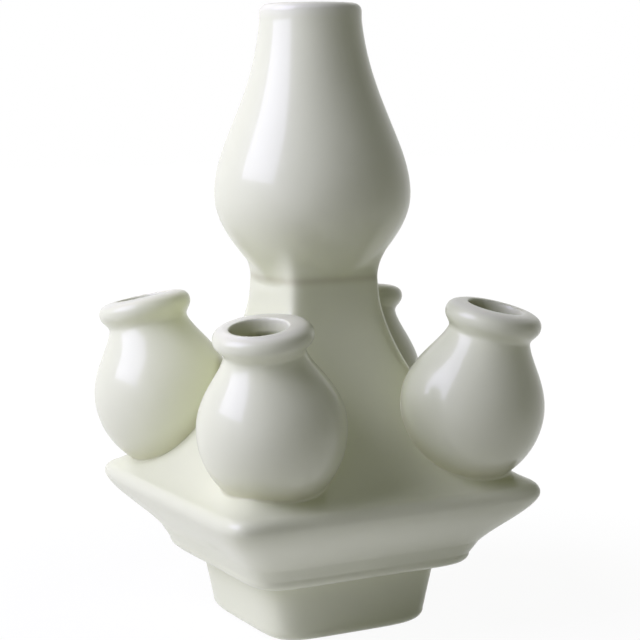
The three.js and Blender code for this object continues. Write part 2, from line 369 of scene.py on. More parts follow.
class Casting:
    """A closed clay shell that is drawn up ring by ring."""

    def __init__(self, around: int = len(SQUARE_HEADINGS)) -> None:
        """Start an empty shell.

        Args:
            around: how many points each ring has.
        """
        self.mesh = bmesh.new()
        self.pool_and_shade = self.mesh.verts.layers.float.new(POOL_SHADE_LAYER)
        made = bmesh.ops.create_circle(self.mesh, cap_ends=False, radius=1.0, segments=around)
        self.ring = list(made["verts"])
        self.edges = list(self.mesh.edges)
        self.first: list[Vector] = []

    def draw_up(self) -> None:
        """Extrude the last ring, and make its copy the last one."""
        made = bmesh.ops.extrude_edge_only(self.mesh, edges=self.edges)["geom"]
        fresh = {item for item in made if isinstance(item, bmesh.types.BMVert)}
        self.edges = [item for item in made if isinstance(item, bmesh.types.BMEdge)
                      and item.verts[0] in fresh and item.verts[1] in fresh]
        following = []
        for vert in self.ring:
            following.append(next(edge.other_vert(vert) for edge in vert.link_edges
                                  if edge.other_vert(vert) in fresh))
        self.ring = following

    def add_ring(self, spots: Sequence[Vector], pool_and_shade: float = 0.0, crisp: bool = False) -> None:
        """Put the next ring on the shell.

        Args:
            spots: the ring's points in millimetres.
            pool_and_shade: how much the glaze pools there and how much shade is painted there, or how thin
                it is where negative.
            crisp: whether the shading breaks at this ring.
        """
        if self.first:
            self.draw_up()
        else:
            self.first = list(spots)
        for vert, spot in zip(self.ring, spots):
            vert.co = spot
            vert[self.pool_and_shade] = pool_and_shade
        for edge in self.edges:
            edge.smooth = not crisp

    def add_squares(self, plan: Callable[[float], Plan], spots: Iterable[Sequence[float]],
                    crisp: bool = False) -> None:
        """Put level square rings on the shell, each from its half width and its height."""
        for half, height in spots:
            self.add_ring(square_ring(plan(half), height), crisp=crisp)

    def close(self, crisp: bool = True) -> None:
        """Join the last ring to the first one, where the shading may break."""
        self.add_ring(self.first, crisp=crisp)
        bmesh.ops.remove_doubles(self.mesh, verts=self.mesh.verts, dist=SAME_POINT)

    def finish(self, name: str) -> bpy.types.Object:
        """Give the shell its unevenness and its size in metres, and finish it.

        Args:
            name: the object's name.

        Returns:
            The object, with its faces outward.
        """
        for vert in self.mesh.verts:
            vert.co = (vert.co + HAND.shift(vert.co)) * MM
        bmesh.ops.recalc_face_normals(self.mesh, faces=self.mesh.faces)
        if self.mesh.calc_volume(signed=True) < 0:
            bmesh.ops.reverse_faces(self.mesh, faces=self.mesh.faces)
        for face in self.mesh.faces:
            face.smooth = True
        return as_object(name, self.mesh)


class SubAssembly(ABC):
    """A part of the vase that builds its castings and dresses them over their CAD nodes."""

    bare_nodes: ClassVar[frozenset[str]] = frozenset()

    @abstractmethod
    def build(self) -> dict[str, bpy.types.Object]:
        """Build the castings, by the names of their CAD nodes."""

    def dress(self, piece: bpy.types.Object, node: str, finishes: dict[Slot, bpy.types.Material]) -> None:
        """Give a casting its finish, and put it in place of its CAD node.

        Args:
            piece: the casting's object.
            node: the CAD node that it stands for.
            finishes: the vase's materials, by slot.
        """
        slot = Slot.CLAY if node in self.bare_nodes else Slot.GLAZE
        piece.data.materials.clear()
        piece.data.materials.append(finishes[slot])
        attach(piece, "root")
        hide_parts(node)


@dataclass(frozen=True)
class Foot(SubAssembly):
    """The tapered square foot and the clay slab let into it."""

    bare_nodes: ClassVar[frozenset[str]] = frozenset({"foot_floor"})
    top_half: float = 36.8
    base_half: float = 34.0
    edge_radius: float = 5.2
    corner: float = 12.0
    inner_corner: float = 6.0
    wall: float = 6.0
    ring_width: float = 5.0
    floor_rise: float = 3.0
    floor_thickness: float = 5.0
    floor_middle: float = 0.02
    fillet: float = 1.3
    side_pulls: Pulls = ((0.33, 0.33), (0.67, 0.67))
    edge_steps: int = 14
    side_steps: int = 16
    fillet_steps: int = 8

    @property
    def spigot_half(self) -> float:
        """Half the width of the raised rim that centres the cornice."""
        return self.top_half - self.wall + LEVELS.spigot_wall

    def inside_half(self, height: float) -> float:
        """Half the width inside the wall at a height."""
        share = (height - self.edge_radius) / (LEVELS.shoulder - self.edge_radius)
        return self.base_half + (self.top_half - self.base_half) * share - self.wall

    def build(self) -> dict[str, bpy.types.Object]:
        """Build the square collar and its floor, by node."""
        return {"foot_collar": self.collar(), "foot_floor": self.slab()}

    def collar(self) -> bpy.types.Object:
        """Build the foot's square collar.

        Returns:
            The collar's object.
        """
        body = Casting()
        soft, sharp = partial(Plan, corner=self.corner), partial(Plan, corner=self.inner_corner)
        ring_half = self.base_half - self.edge_radius - self.ring_width
        body.add_squares(sharp, [(ring_half, 0)], crisp=True)
        edge_centre = Vector((self.base_half - self.edge_radius, self.edge_radius))
        side_foot = Vector((self.base_half, self.edge_radius))
        side_top = Vector((self.top_half, LEVELS.shoulder - self.fillet))
        body.add_squares(soft, arc(edge_centre, self.edge_radius, -90, 0, self.edge_steps))
        body.add_squares(soft, Sweep.pulled(side_foot, side_top, self.side_pulls).points(self.side_steps))
        flare = arc(side_top + Vector((self.fillet, 0)), self.fillet, 180, 90, self.fillet_steps)
        # The flare's rings darken the glaze towards the crease under the cornice: pooled glaze and painted
        # shade.
        for number, spot in enumerate(flare[1:], 1):
            share = number / self.fillet_steps
            body.add_ring(square_ring(soft(spot.x), spot.y), pool_and_shade=share, crisp=share == 1)
        inner_top = self.top_half - self.wall
        spigot_top = LEVELS.shoulder + LEVELS.spigot_height
        body.add_squares(sharp, [
            (self.spigot_half, LEVELS.shoulder), (self.spigot_half, spigot_top), (inner_top, spigot_top),
            (self.inside_half(self.floor_rise), self.floor_rise), (ring_half, self.floor_rise)], crisp=True)
        body.close()
        return body.finish("foot_collar_glazed")

    def slab(self) -> bpy.types.Object:
        """Build the clay floor of the foot from two rings and a small filled middle on each side.

        Returns:
            The slab's object.
        """
        half = self.inside_half(self.floor_rise) - LEVELS.clearance
        full = Plan(half, self.inner_corner)
        middle = Plan(half * self.floor_middle, self.inner_corner * self.floor_middle)
        rise = self.floor_rise + self.floor_thickness
        body = Casting()
        for plan, height in ((middle, self.floor_rise), (full, self.floor_rise),
                             (full, rise), (middle, rise)):
            body.add_ring(square_ring(plan, height), crisp=plan is full)
        bmesh.ops.holes_fill(body.mesh, edges=body.mesh.edges, sides=0)
        return body.finish("foot_floor_clay")


FOOT = Foot()


@dataclass(frozen=True)
class Eave:
    """The round edge that the cornice and the roof share."""

    half: float = 66.6
    radius: float = 4.3
    under_angle: float = 24.0
    corner: float = 12.0
    rim_width: float = 6.6
    lip_depth: float = 4.0

    @property
    def centre(self) -> Vector:
        """The middle of the edge's arc."""
        return Vector((self.half - self.radius, LEVELS.eave))

    def rim_at(self, degrees: float) -> Vector:
        """A point on the edge's arc."""
        angle = math.radians(degrees)
        return self.centre + self.radius * Vector((math.cos(angle), math.sin(angle)))


EAVE = Eave()


@dataclass(frozen=True)
class Cornice(SubAssembly):
    """The dish above the foot: an upright band, an ogee and the lower half of the eave."""

    band_height: float = 9.0
    band_bottom_half: float = 47.0
    band_top_half: float = 49.7
    band_edge_radius: float = 4.0
    band_corner: float = 12.0
    upper_pull: float = 6.5
    lower_pull: float = 8.0
    crease: float = 9.0
    wall: float = 5.0
    floor: float = 5.0
    edge_steps: int = 12
    band_steps: int = 8
    ogee_steps: int = 40
    eave_steps: int = 10
    inside_steps: int = 12

    def plan(self, half: float) -> Plan:
        """The section whose half width is given."""
        share = min(max((half - self.band_top_half) / (EAVE.half - self.band_top_half), 0.0), 1.0)
        return Plan(half, self.band_corner + (EAVE.corner - self.band_corner) * share)

    @cached_property
    def band_top(self) -> Vector:
        """The point of the outline where the band ends and the ogee starts."""
        return Vector((self.band_top_half, LEVELS.shoulder + self.band_height))

    @cached_property
    def ogee(self) -> Sweep:
        """The curve from the band up to the eave's round edge.

        Returns:
            The stretch, which leaves the band at a slight crease and meets the edge smoothly.
        """
        top = EAVE.rim_at(-EAVE.under_angle)
        under = math.radians(-EAVE.under_angle)
        top_run = Vector((math.sin(under), -math.cos(under)))
        band_run = Vector((self.band_top_half - self.band_bottom_half,
                           self.band_height - self.band_edge_radius)).normalized()
        band_run.rotate(Matrix.Rotation(math.radians(-self.crease), 2))
        first = self.band_top + band_run * self.lower_pull
        return Sweep(self.band_top, first, top + top_run * self.upper_pull, top)

    def outside(self) -> list[Vector]:
        """Follow the outline from under the band up to the seam at the eave.

        Returns:
            The outline's points.
        """
        edge_centre = Vector((self.band_bottom_half - self.band_edge_radius,
                              LEVELS.shoulder + self.band_edge_radius))
        points = arc(edge_centre, self.band_edge_radius, -90, 0, self.edge_steps)
        band_foot = points[-1]
        points += [band_foot.lerp(self.band_top, step / self.band_steps)
                   for step in range(1, self.band_steps + 1)]
        points += self.ogee.points(self.ogee_steps)
        return points + arc(EAVE.centre, EAVE.radius, -EAVE.under_angle, 0, self.eave_steps)[1:]

    def build(self) -> dict[str, bpy.types.Object]:
        """Build the cornice.

        Returns:
            Its object, by node.
        """
        floor_level = LEVELS.shoulder + self.floor
        hole = Plan(FOOT.spigot_half + LEVELS.clearance, FOOT.inner_corner)
        body = Casting()
        body.add_ring(square_ring(hole, LEVELS.shoulder), crisp=True)
        outside = self.outside()
        body.add_squares(self.plan, outside[:-1])
        mouth_half = EAVE.half - EAVE.rim_width
        mouth_level = LEVELS.eave - EAVE.lip_depth - LEVELS.clearance
        mouth = [(mouth_half, LEVELS.eave), (mouth_half, mouth_level)]
        body.add_squares(self.plan, outside[-1:] + mouth, crisp=True)
        inside = [spot for spot in self.ogee.beside(self.inside_steps, self.wall)
                  if floor_level + RING_GAP < spot.y < mouth_level - RING_GAP
                  and spot.x < mouth_half - RING_GAP]
        body.add_squares(self.plan, reversed(inside))
        body.add_squares(self.plan, [(self.band_bottom_half - self.wall, floor_level)], crisp=True)
        body.add_ring(square_ring(hole, floor_level), crisp=True)
        body.close()
        return {"cornice_dish": body.finish("cornice_glazed")}


@dataclass(frozen=True)
class Shaft:
    """The square shaft that the roof rises to."""

    half: float = 20.1
    taper: float = 1.4
    pull: float = 24.0
    corner: float = 5.5
    wall: float = 6.1
    bore_length: float = 10.0

    def half_at(self, height: float) -> float:
        """Half the shaft's width at a height above the roof."""
        return self.half - self.taper * (height - LEVELS.neck) / self.pull


SHAFT = Shaft()


@dataclass(frozen=True)
class Roof(SubAssembly):
    """The concave hipped roof, from the eave's round edge up to the shaft."""

    slope: float = 24.0
    slope_pull: float = 20.0
    wall: float = 5.0
    lip_wall: float = 3.7
    throat_radius: float = 8.0
    throat_depth: float = 52.0
    throat_sides: int = 40
    shortest_edge: float = 0.002
    probe: float = 0.05
    landing_rounds: int = 4
    eave_steps: int = 14
    hip_steps: int = 110
    inside_steps: int = 24

    @cached_property
    def hip(self) -> Sweep:
        """The curve from the eave to the shaft.

        Returns:
            The stretch, which leaves the eave at the roof's slope and meets the shaft smoothly.
        """
        start = EAVE.rim_at(90 - self.slope)
        slope = math.radians(self.slope)
        first = start + Vector((-math.cos(slope), math.sin(slope))) * self.slope_pull
        end = Vector((SHAFT.half, LEVELS.neck))
        return Sweep(start, first, end + Vector((SHAFT.taper, -SHAFT.pull)), end)

    def plan(self, half: float) -> Plan:
        """The section whose half width is given."""
        share = min(max((half - SHAFT.half) / (EAVE.half - SHAFT.half), 0.0), 1.0)
        return Plan(half, SHAFT.corner + (EAVE.corner - SHAFT.corner) * share)

    def half_at(self, height: float) -> float:
        """Read the roof's outline, with the shaft above it and the round eave below.

        Args:
            height: the height to read.

        Returns:
            Half the width there.
        """
        if height >= LEVELS.neck:
            return SHAFT.half_at(height)
        if height > self.hip.start.y:
            return self.hip.across_at(height)
        drop = min(max(height - LEVELS.eave, 0.0), EAVE.radius)
        return EAVE.centre.x + math.sqrt(EAVE.radius ** 2 - drop ** 2)

    def outside(self, spot: Vector) -> float:
        """How far a place lies outside the roof, level with it; negative inside."""
        return self.plan(self.half_at(spot.z)).outside(spot.x, spot.y)

    def growth(self, spot: Vector) -> Vector:
        """Find how fast the distance outside the roof grows along each axis.

        Args:
            spot: a place near the roof.

        Returns:
            The growth along x, y and z, which points straight out of the roof.
        """
        growth = []
        for axis in range(3):
            step = Vector((0, 0, 0))
            step[axis] = self.probe
            growth.append((self.outside(spot + step) - self.outside(spot - step)) / (2 * self.probe))
        return Vector(growth)

    def normal(self, spot: Vector) -> Vector:
        """The direction straight out of the roof at a place on it."""
        return self.growth(spot).normalized()

    def onto(self, spot: Vector) -> Vector:
        """Bring a place onto the roof.

        Args:
            spot: a place within a few millimetres of the roof.

        Returns:
            The place on the roof next to it.
        """
        for _ in range(self.landing_rounds):
            growth = self.growth(spot)
            spot = spot - growth * (self.outside(spot) / growth.length_squared)
        return spot

    def build(self) -> dict[str, bpy.types.Object]:
        """Build the roof, bored under each spout.

        Returns:
            Its object, by node.
        """
        body = Casting()
        outside = arc(EAVE.centre, EAVE.radius, 0, 90 - self.slope, self.eave_steps)
        outside += self.hip.points(self.hip_steps)
        body.add_squares(self.plan, outside[:1], crisp=True)
        body.add_squares(self.plan, outside[1:-1])
        bore_half = SHAFT.half - SHAFT.wall
        bore_foot = LEVELS.neck - SHAFT.bore_length
        spigot_half = bore_half + LEVELS.spigot_wall
        spigot_top = LEVELS.neck + LEVELS.spigot_height
        body.add_squares(self.plan, outside[-1:] + [
            (spigot_half, LEVELS.neck), (spigot_half, spigot_top),
            (bore_half, spigot_top), (bore_half, bore_foot)], crisp=True)
        lip_outer = EAVE.half - EAVE.rim_width - LEVELS.clearance
        lip_inner = lip_outer - self.lip_wall
        lip_foot = LEVELS.eave - EAVE.lip_depth
        inside = [spot for spot in self.hip.beside(self.inside_steps, self.wall)
                  if bore_half + RING_GAP < spot.x < lip_inner - RING_GAP and spot.y < bore_foot - RING_GAP]
        body.add_squares(self.plan, reversed(inside))
        drop = (lip_inner - inside[0].x) * math.tan(math.radians(self.slope))
        body.add_squares(self.plan, [
            (lip_inner, inside[0].y - drop), (lip_inner, lip_foot),
            (lip_outer, lip_foot), (lip_outer, LEVELS.eave)], crisp=True)
        body.close()
        piece = body.finish("roof_glazed")
        self.bore(piece, [spout.place for spout in SPOUTS])
        return {"hipped_roof": piece}

    def bore(self, piece: bpy.types.Object, throats: Sequence[Matrix]) -> None:
        """Bore the roof under each spout.

        Args:
            piece: the roof's object.
            throats: the spouts' own frames, in millimetres.
        """
        drill = bmesh.new()
        for place in throats:
            bmesh.ops.create_cone(drill, cap_ends=True, segments=self.throat_sides, matrix=place,
                                  radius1=self.throat_radius, radius2=self.throat_radius,
                                  depth=self.throat_depth)
        bmesh.ops.recalc_face_normals(drill, faces=drill.faces)
        bmesh.ops.scale(drill, vec=(MM, MM, MM), verts=drill.verts)
        tool = as_object("drill", drill)
        cut = piece.modifiers.new("throats", "BOOLEAN")
        cut.object = tool
        cut.operation = "DIFFERENCE"
        cut.solver = "EXACT"
        graph = bpy.context.evaluated_depsgraph_get()
        bored = bpy.data.meshes.new_from_object(piece.evaluated_get(graph))
        trimmed = bmesh.new()
        trimmed.from_mesh(bored)
        bmesh.ops.dissolve_degenerate(trimmed, edges=trimmed.edges, dist=self.shortest_edge * MM)
        trimmed.to_mesh(bored)
        trimmed.free()
        spent = (piece.data, tool.data)
        piece.modifiers.clear()
        piece.data = bored
        bpy.data.objects.remove(tool)
        for data in spent:
            bpy.data.meshes.remove(data)


ROOF = Roof()


@dataclass(frozen=True)
class NeckVase(SubAssembly):
    """The round pear-shaped vase on its square stub."""

    root_radius: float = 17.5
    root_height: float = 3.0
    belly_radius: float = 37.85
    belly_height: float = 38.0
    lip_radius: float = 19.6
    lip_rounding: float = 3.0
    inner_rounding: float = 1.9
    wall: float = 4.6
    bore_radius: float = 14.0
    lower_pulls: Pulls = ((0.69, 0.46), (1.0, 0.69))
    upper_pulls: Pulls = ((0.0, 0.29), (0.84, 0.53))
    blend_height: float = 20.0
    blend_rings: int = 44
    blend_start: float = 4.0
    face_blend: float = 3.0
    corner_blend: float = 7.0
    corner_power: int = 3
    least_blend: float = 0.01
    # Pooled glaze and painted shade: a darker band in the crease at the pear's root, and painted shade on
    # the inside wall
    crease_pool_shade: float = 0.8
    crease_height: float = 6.0
    crease_width: float = 1.6
    inner_pool_shade: float = 0.3
    thin_from: float = 5.0
    thin_to: float = 1.0
    lower_steps: int = 40
    upper_steps: int = 76
    lip_steps: int = 12
    inner_lip_steps: int = 8
    inner_upper_steps: int = 30
    inner_lower_steps: int = 24

    @cached_property
    def lower(self) -> Sweep:
        """The curve from the root to the belly.

        Returns:
            The stretch.
        """
        root = Vector((self.root_radius, LEVELS.neck + self.root_height))
        belly = Vector((self.belly_radius, LEVELS.neck + self.belly_height))
        return Sweep.pulled(root, belly, self.lower_pulls)

    @cached_property
    def upper(self) -> Sweep:
        """The curve from the belly to the lip."""
        lip_foot = Vector((self.lip_radius, LEVELS.top - 2 * self.lip_rounding))
        return Sweep.pulled(self.lower.end, lip_foot, self.upper_pulls)

    def pear_at(self, height: float) -> float:
        """Read the round body's outline, drawn on straight below its root.

        Args:
            height: a height below the belly.

        Returns:
            The radius there.
        """
        root = self.lower.start
        if height > root.y:
            return self.lower.across_at(height)
        run = self.lower.run(0)
        return root.x - (root.y - height) * run.x / run.y

    def blended_ring(self, height: float) -> list[Vector]:
        """Make a ring where the round body grows out of the square stub.

        Args:
            height: the ring's height.

        Returns:
            The ring's points.
        """
        plan = Plan(SHAFT.half_at(height), SHAFT.corner)
        pear = self.pear_at(height)
        start = smooth_step(LEVELS.neck, LEVELS.neck + self.blend_start, height)
        ring = []
        for heading in SQUARE_HEADINGS:
            cornerness = abs(math.sin(2 * heading)) ** self.corner_power
            blend = (self.face_blend + (self.corner_blend - self.face_blend) * cornerness) * start
            reach = soft_max(plan.reach(heading), pear, max(blend, self.least_blend))
            ring.append(turned(reach, heading, height))
        return ring

    def add_root(self, body: Casting) -> None:
        """Draw the stub and the root of the pear, where the glaze pools in the crease and shade is painted
        there as a darker band.

        Args:
            body: the casting under construction.
        """
        gap = self.blend_height / self.blend_rings
        heights = [0.0, SEAM_MARGIN] + [gap * step for step in range(1, self.blend_rings + 1)]
        for height in heights:
            pool_and_shade = self.crease_pool_shade * math.exp(-((height - self.crease_height) / self.crease_width) ** 2)
            body.add_ring(self.blended_ring(LEVELS.neck + height), pool_and_shade=pool_and_shade, crisp=height == 0)

    def lip(self) -> list[Vector]:
        """Round the lip over and into the mouth.

        Returns:
            The outline's points.
        """
        outer = Vector((self.lip_radius - self.lip_rounding, LEVELS.top - self.lip_rounding))
        mouth = self.lip_radius - self.wall
        inner = Vector((mouth + self.inner_rounding, LEVELS.top - self.inner_rounding))
        return (arc(outer, self.lip_rounding, 0, 90, self.lip_steps)
                + arc(inner, self.inner_rounding, 90, 180, self.inner_lip_steps))

    def build(self) -> dict[str, bpy.types.Object]:
        """Build the neck vase.

        Returns:
            Its object, by node.
        """
        body = Casting()
        self.add_root(body)
        blend_top = LEVELS.neck + self.blend_height + self.blend_height / self.blend_rings / 2
        lower = [spot for spot in self.lower.points(self.lower_steps) if spot.y > blend_top]
        for spot in lower + self.upper.points(self.upper_steps) + self.lip():
            thin = smooth_step(LEVELS.top - self.thin_from, LEVELS.top - self.thin_to, spot.y)
            body.add_ring(round_ring(spot.x, spot.y), pool_and_shade=-thin)
        inside = self.upper.beside(self.inner_upper_steps, self.wall)[::-1]
        inside += self.lower.beside(self.inner_lower_steps, self.wall)[-2::-1]
        socket_edge = self.bore_radius + RING_GAP
        # The inside wall is darkened: painted shade in the hollow.
        for spot in inside:
            if spot.x > socket_edge or spot.y > self.lower.end.y:
                body.add_ring(round_ring(spot.x, spot.y), pool_and_shade=self.inner_pool_shade)
        socket = Plan(SHAFT.half - SHAFT.wall + LEVELS.spigot_wall + LEVELS.clearance, SHAFT.corner)
        socket_top = LEVELS.neck + LEVELS.spigot_height + LEVELS.clearance
        for ring in (round_ring(socket_edge, socket_top), square_ring(socket, socket_top),
                     square_ring(socket, LEVELS.neck)):
            body.add_ring(ring, crisp=True)
        body.close()
        return {"neck_vase": body.finish("neck_vase_glazed")}


@dataclass(frozen=True)
class SpoutForm:
    """What the four pot spouts share, measured along a spout's own axis and its outline."""

    reach: float = 55.5
    rise: float = 6.0
    lean: float = 11.0
    height: float = 65.8
    base_radius: float = 14.0
    base_bulge: float = 1.0
    belly_radius: float = 27.5
    belly_height: float = 26.5
    neck_radius: float = 15.7
    neck_height: float = 55.0
    rim_radius: float = 18.4
    rim_height: float = 61.2
    rim_share: float = 0.1
    mouth_radius: float = 10.3
    mouth_edge: float = 0.7
    wall: float = 4.6
    bore_margin: float = 0.4
    lower_pulls: Pulls = ((0.55, 0.17), (1.0, 0.55))
    upper_pulls: Pulls = ((0.0, 0.47), (0.85, 0.75))
    collar_pulls: Pulls = ((0.0, 0.38), (1.0, 0.52))
    least_fillet: float = 0.5
    fillet_low: float = 3.0
    fillet_high: float = 13.0
    fillet_hold: float = 0.6
    skirt_reach: float = 0.3
    skirt_sink: float = 0.05
    skirt_depth: float = 1.2
    neck_mark: float = 24.0
    mouth_mark: float = 10.0
    thin_from: float = 4.0
    thin_to: float = 8.0
    # Darkening towards the roof and over the fillet: pooled glaze and painted shade in the crease
    joint_pool_shade: float = 0.7
    joint_pool_shade_from: float = 0.76
    fillet_pool_shade: float = 0.3
    search_start: float = 14.0
    search_step: float = 0.8
    probe: float = 0.2
    around: int = 128
    rim_rings: int = 64
    body_rings: int = 60
    fillet_rings: int = 9
    inner_rings: int = 30
    mouth_rings: int = 24
    outer_steps: int = 90
    inner_steps: int = 60


@dataclass(frozen=True)
class Joint:
    """Where a spout meets the roof, in one direction round the spout's own axis."""

    foot: float
    fillet: Sweep
    away: Vector
    normal: Vector
    inside: float


@dataclass(frozen=True)
class Spout(SubAssembly):
    """One of the four pot spouts, luted to a hip of the roof."""

    node: str
    corner: float
    turn: float
    swing: float
    lean: float
    reach: float
    rise: float
    fillet: float
    slimmer: float = 0.0
    mouth_shift: float = 0.0
    form: SpoutForm = SpoutForm()

    @cached_property
    def place(self) -> Matrix:
        """The spout's own frame in the vase.

        Returns:
            The frame, in millimetres.
        """
        bearing = math.radians(self.corner + self.turn)
        height = LEVELS.eave + self.form.rise + self.rise
        foot = turned(self.form.reach + self.reach, bearing, height)
        swing = Matrix.Rotation(bearing + math.radians(self.swing), 4, "Z")
        lean = Matrix.Rotation(math.radians(self.form.lean + self.lean), 4, "Y")
        return Matrix.Translation(foot) @ swing @ lean

    @cached_property
    def headings(self) -> list[float]:
        """The directions round the spout's axis."""
        return [FULL_TURN * step / self.form.around for step in range(self.form.around)]

    @cached_property
    def lines(self) -> dict[str, Sweep]:
        """The stretches of the pot's outline.

        Returns:
            The stretches by name, from the base up to the rim, over its crown and into the mouth.
        """
        form = self.form
        base = Vector((form.base_radius, form.base_bulge))
        belly = Vector((form.belly_radius, form.belly_height))
        neck = Vector((form.neck_radius - self.slimmer, form.neck_height))
        rim = Vector((form.rim_radius - self.slimmer * form.rim_share, form.rim_height))
        crown = Vector((form.mouth_radius + form.mouth_edge, form.height))
        mouth = Vector((form.mouth_radius, form.rim_height))
        return {
            "lower": Sweep.pulled(base, belly, form.lower_pulls),
            "upper": Sweep.pulled(belly, neck, form.upper_pulls),
            "collar": Sweep.pulled(neck, rim, form.collar_pulls),
            "over": Sweep.bowed(rim, Vector((rim.x, crown.y)), crown),
            "into": Sweep.bowed(crown, Vector((mouth.x, crown.y)), mouth),
        }

    @cached_property
    def outer(self) -> Outline:
        """The outside, from the crown of the rim down to the base.

        Returns:
            The outline.
        """
        points = [self.lines["lower"].start]
        for name in ("lower", "upper", "collar", "over"):
            points += self.lines[name].points(self.form.outer_steps)
        return Outline(points[::-1])

    @cached_property
    def inner(self) -> Outline:
        """The inside, from the crown of the rim down to the floor.

        Returns:
            The outline.
        """
        steps, wall = self.form.inner_steps, self.form.wall
        bore = self.form.mouth_radius
        points = [self.lines["into"].start] + self.lines["into"].points(steps)
        points.append(Vector((bore, self.form.neck_height)))
        shoulder = self.lines["upper"].beside(steps, wall)[::-1]
        points += [spot for spot in shoulder if spot.x > bore + self.form.bore_margin]
        return Outline(points + self.lines["lower"].beside(steps, wall)[-2::-1])

    def spot(self, flat: Vector, heading: float) -> Vector:
        """Turn a point of the outline round the spout's axis, and put it in its place in the vase.

        Args:
            flat: the point, as distance from the axis and height.
            heading: the direction round the spout's axis.

        Returns:
            The place in the vase, in millimetres, with the mouth moved off the rim's middle by its shift.
        """
        form = self.form
        spot = turned(flat.x, heading, flat.y)
        lift = smooth_step(form.neck_height, form.rim_height, flat.y)
        inward = 1 - smooth_step(form.mouth_radius + form.mouth_edge, form.neck_radius, flat.x)
        spot.x += self.mouth_shift * lift * inward
        return self.place @ spot

    def ring(self, line: Outline, marks: Sequence[float]) -> list[Vector]:
        """A ring of the pot, from how far along a line it lies in each direction."""
        return [self.spot(line.at(mark), heading) for mark, heading in zip(marks, self.headings)]

    def level_ring(self, line: Outline, mark: float) -> list[Vector]:
        """A ring of the pot that is equally far along a line in all directions."""
        return self.ring(line, [mark] * self.form.around)

    def is_clear(self, line: Outline, heading: float, mark: float) -> bool:
        """Whether a line is outside the roof at a distance along it."""
        return ROOF.outside(self.spot(line.at(mark), heading)) > 0

    def contact(self, line: Outline, heading: float) -> float:
        """Find where a line enters the roof.

        Args:
            line: the outline to follow down.
            heading: the direction round the spout's axis.

        Returns:
            The distance from the line's start.
        """
        clear = partial(self.is_clear, line, heading)
        far = self.form.search_start
        while far < line.length and clear(far):
            far += self.form.search_step
        return halved(far - self.form.search_step, min(far, line.length), CONTACT_HALVINGS, clear)

    def joint(self, heading: float) -> Joint:
        """Find where the spout meets the roof, and lay a fillet between them.

        The fillet is small where the pot meets the steep part of the roof.

        Args:
            heading: the direction round the spout's axis.

        Returns:
            The joint in that direction.
        """
        form = self.form
        entry = self.contact(self.outer, heading)
        touch = self.spot(self.outer.at(entry), heading)
        uphill = smooth_step(form.fillet_low, form.fillet_high, touch.z - LEVELS.eave)
        size = self.fillet + (form.least_fillet - self.fillet) * uphill
        start = self.spot(self.outer.at(entry - size), heading)
        near = self.spot(self.outer.at(entry - size + form.probe), heading)
        down = (near - start).normalized()
        run = self.outer.run(entry, form.probe)
        side = self.place.to_3x3() @ turned(-run.y, heading, run.x)
        normal = ROOF.normal(touch)
        outward = (side - normal * side.dot(normal)).normalized()
        end = ROOF.onto(touch + outward * size)
        end_normal = ROOF.normal(end)
        away = (outward - end_normal * outward.dot(end_normal)).normalized()
        hold = size * form.fillet_hold
        fillet = Sweep(start, start + down * hold, end - away * hold, end)
        return Joint(entry - size, fillet, away, end_normal, self.contact(self.inner, heading))

    def add_outside(self, body: Casting, joints: Sequence[Joint]) -> None:
        """Draw the outside down from the crown of the rim, and a skirt into the roof.

        Args:
            body: the casting under construction.
            joints: where the spout meets the roof, by direction.
        """
        form = self.form
        for number in range(form.rim_rings):
            mark = form.neck_mark * number / form.rim_rings
            thin = 1 - smooth_step(form.thin_from, form.thin_to, mark)
            body.add_ring(self.level_ring(self.outer, mark), pool_and_shade=-thin)
        # The lowest rings and the fillet darken towards the roof: pooled glaze and painted shade.
        for number in range(form.body_rings + 1):
            share = number / form.body_rings
            marks = [form.neck_mark + (joint.foot - form.neck_mark) * share for joint in joints]
            pool_and_shade = form.joint_pool_shade * smooth_step(form.joint_pool_shade_from, 1.0, share)
            body.add_ring(self.ring(self.outer, marks), pool_and_shade=pool_and_shade)
        for number in range(1, form.fillet_rings + 1):
            share = number / form.fillet_rings
            pool_and_shade = form.joint_pool_shade * (1 - share) + form.fillet_pool_shade * math.sin(math.pi * share)
            body.add_ring([joint.fillet.at(share) for joint in joints], pool_and_shade=pool_and_shade)
        skirt = [joint.fillet.end + joint.away * form.skirt_reach - joint.normal * form.skirt_sink
                 for joint in joints]
        hidden = [spot - joint.normal * form.skirt_depth for spot, joint in zip(skirt, joints)]
        for ring in (skirt, hidden):
            body.add_ring(ring, crisp=True)

    def add_inside(self, body: Casting, joints: Sequence[Joint]) -> None:
        """Draw the inside up from the roof to the mouth.

        Args:
            body: the casting under construction.
            joints: where the spout meets the roof, by direction.
        """
        form = self.form
        touches = self.ring(self.inner, [joint.inside for joint in joints])
        body.add_ring([spot - ROOF.normal(spot) * form.skirt_depth for spot in touches], crisp=True)
        # The inside and the mouth are darkened as painted shade, which fades to thin glaze at the rim.
        for number in range(form.inner_rings + 1):
            share = number / form.inner_rings
            marks = [joint.inside + (form.mouth_mark - joint.inside) * share for joint in joints]
            body.add_ring(self.ring(self.inner, marks), pool_and_shade=1.0)
        for number in range(1, form.mouth_rings):
            share = 1 - number / form.mouth_rings
            body.add_ring(self.level_ring(self.inner, form.mouth_mark * share), pool_and_shade=2 * share - 1)

    def build(self) -> dict[str, bpy.types.Object]:
        """Build the spout.

        Returns:
            Its object, by node.
        """
        joints = [self.joint(heading) for heading in self.headings]
        body = Casting(self.form.around)
        self.add_outside(body, joints)
        self.add_inside(body, joints)
        body.close(crisp=False)
        return {self.node: body.finish(f"{self.node}_glazed")}


